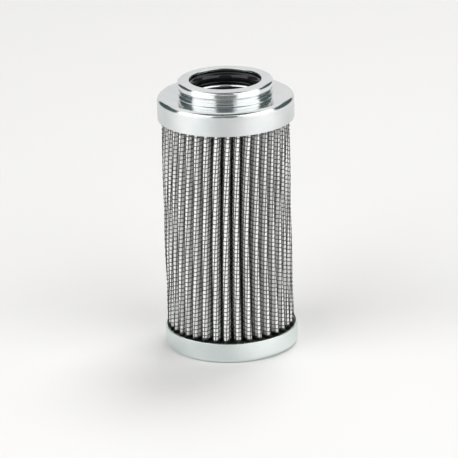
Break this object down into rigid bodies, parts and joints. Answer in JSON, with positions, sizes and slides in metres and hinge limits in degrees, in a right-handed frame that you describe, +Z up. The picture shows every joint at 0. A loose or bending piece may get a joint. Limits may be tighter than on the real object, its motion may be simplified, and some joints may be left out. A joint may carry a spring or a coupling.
{
  "type": "hydraulic filter element",
  "caption": "Cylindrical hydraulic filter element: pleated wire-cloth pack between pressed steel end caps, with an open grooved neck that holds an O-ring.",
  "frame": {"origin": "centre of the closed end's flat face, which the element stands on", "axes": "+Z up the axis, from the closed end to the open neck; +Y towards the pleats' side seam"},
  "size_m": [0.047, 0.047, 0.0955],
  "materials": {
    "zinc_plated_steel": "bright zinc plate, satin on the skirts and glossier on the neck",
    "seal_rubber": "smooth black nitrile rubber, faintly oiled",
    "core_steel": "plain tinned steel, dull",
    "casting_resin": "dark green-black cast epoxy, glossy where it crept up the folds",
    "coated_wire": "dark epoxy-coated steel wire cloth",
    "white_medium": "white fibre medium, matt",
    "bare_wire": "fine steel wire cloth",
    "clip_steel": "folded tinned steel strip"
  },
  "bodies": {
    "root": {"top_end_cap": "zinc_plated_steel", "seal_seat_ring": "zinc_plated_steel", "neck_o_ring": "seal_rubber", "bottom_end_cap": "zinc_plated_steel", "perforated_core": "core_steel", "top_resin": "casting_resin", "bottom_resin": "casting_resin", "outer_wire_mesh": "coated_wire", "filter_medium": "white_medium", "inner_support_mesh": "bare_wire", "side_seam_clip": "clip_steel"}
  },
  "joints": []
}
